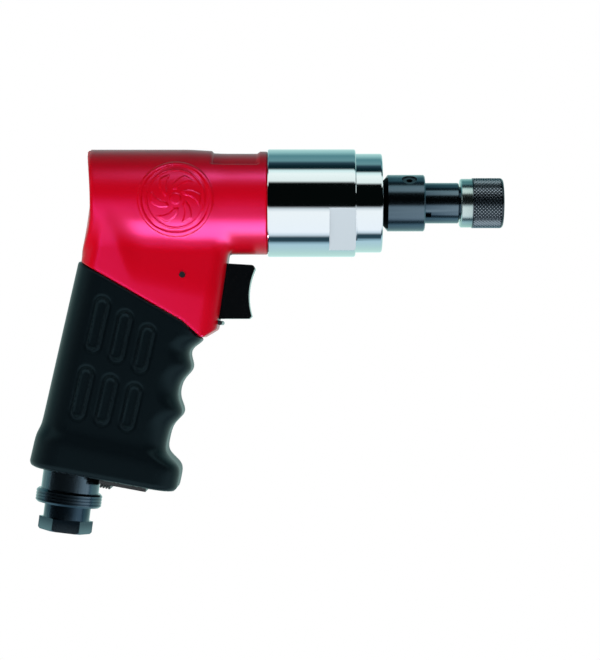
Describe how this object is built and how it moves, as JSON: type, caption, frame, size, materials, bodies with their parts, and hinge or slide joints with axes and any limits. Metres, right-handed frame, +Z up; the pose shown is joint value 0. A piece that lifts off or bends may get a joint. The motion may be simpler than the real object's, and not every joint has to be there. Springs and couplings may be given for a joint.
{
  "type": "pneumatic pistol-grip driver",
  "caption": "Pistol-grip compressed-air driver with a vane motor, planetary gear, trigger valve, swivel air inlet and quick-change hex chuck.",
  "frame": {"origin": "on the spindle axis at the front face of the gear case nose", "axes": "+X along the spindle toward the bit, +Z up away from the handle, the pictured side faces -Y"},
  "size_m": [0.1978, 0.045, 0.1615],
  "materials": {
    "housing_paint": "gloss",
    "grip_rubber": "satin",
    "polished_steel": "polished",
    "gear_steel": "machined",
    "motor_iron": "machined",
    "bearing_steel": "ground",
    "seal_rubber": "matte",
    "spring_steel": "black oxide",
    "brass_bush": "turned",
    "blued_steel": "blued",
    "screen_brass": "woven",
    "silencer_felt": "felt",
    "black_plastic": "moulded",
    "vane_composite": "laminated",
    "sleeve_steel": "satin",
    "knurl_steel": "black oxide",
    "trigger_plastic": "gloss"
  },
  "bodies": {
    "tool": {"housing": "housing_paint", "grip": "grip_rubber", "gear_case": "polished_steel", "ring_gear": "gear_steel", "motor_cylinder": "motor_iron", "motor_front_plate": "motor_iron", "motor_rear_plate": "motor_iron", "motor_front_bearing": "bearing_steel", "motor_rear_bearing": "bearing_steel", "alignment_pin": "bearing_steel", "rear_gasket": "seal_rubber", "spindle_rear_bearing": "bearing_steel", "spindle_front_bearing": "bearing_steel", "nose_snap_ring": "spring_steel", "spindle_seal": "seal_rubber", "trigger_bushing": "brass_bush", "trigger_roll_pin": "spring_steel", "trigger_guide_pin": "spring_steel", "valve_seat": "brass_bush", "inlet_body": "blued_steel", "inlet_collar": "blued_steel", "inlet_screen": "screen_brass", "silencer": "silencer_felt", "exhaust_plate": "black_plastic", "valve_spring": "spring_steel"},
    "rotor": {"rotor": "gear_steel", "vanes": "vane_composite"},
    "spindle": {"spindle": "gear_steel", "planet_pins": "bearing_steel", "adapter": "blued_steel", "set_screw": "spring_steel", "chuck_body": "blued_steel", "chuck_balls": "bearing_steel", "sleeve_stop_ring": "spring_steel", "sleeve_spring": "spring_steel"},
    "planet_1": {"planet_gear_1": "gear_steel"},
    "planet_2": {"planet_gear_2": "gear_steel"},
    "planet_3": {"planet_gear_3": "gear_steel"},
    "sleeve": {"chuck_sleeve": "sleeve_steel", "knurled_ring": "knurl_steel"},
    "trigger": {"trigger": "trigger_plastic", "valve_stem": "bearing_steel", "valve_seal": "seal_rubber"},
    "swivel": {"inlet_nipple": "blued_steel", "inlet_o_ring": "seal_rubber"}
  },
  "joints": [
    {"name": "spindle_spin", "type": "hinge", "parent": "tool", "child": "spindle", "pos_m": [0, 0, 0], "axis": [1, 0, 0], "continuous": true},
    {"name": "rotor_spin", "type": "hinge", "parent": "tool", "child": "rotor", "pos_m": [-0.085, 0, 0], "axis": [1, 0, 0], "continuous": true},
    {"name": "planet_spin_1", "type": "hinge", "parent": "spindle", "child": "planet_1", "pos_m": [-0.04225, 0.0102, 0], "axis": [1, 0, 0], "continuous": true},
    {"name": "planet_spin_2", "type": "hinge", "parent": "spindle", "child": "planet_2", "pos_m": [-0.04225, -0.0051, 0.00883], "axis": [1, 0, 0], "continuous": true},
    {"name": "planet_spin_3", "type": "hinge", "parent": "spindle", "child": "planet_3", "pos_m": [-0.04225, -0.0051, -0.00883], "axis": [1, 0, 0], "continuous": true},
    {"name": "sleeve_slide", "type": "slide", "parent": "spindle", "child": "sleeve", "axis": [1, 0, 0], "range_m": [0, 0.003], "stiffness_N_per_m": 1500, "springref_m": -0.004, "deforming": ["sleeve_spring"]},
    {"name": "trigger_slide", "type": "slide", "parent": "tool", "child": "trigger", "axis": [-1, 0, 0], "range_m": [0, 0.0055], "stiffness_N_per_m": 1200, "springref_m": -0.004, "deforming": ["valve_spring"]},
    {"name": "swivel_spin", "type": "hinge", "parent": "tool", "child": "swivel", "pos_m": [-0.13202, 0, -0.12935], "axis": [-0.1305, 0, -0.9914], "continuous": true}
  ],
  "couplings": [
    {"joint": "rotor_spin", "follows": "spindle_spin", "ratio": 4},
    {"joint": "planet_spin_1", "follows": "spindle_spin", "ratio": -3},
    {"joint": "planet_spin_2", "follows": "spindle_spin", "ratio": -3},
    {"joint": "planet_spin_3", "follows": "spindle_spin", "ratio": -3}
  ]
}
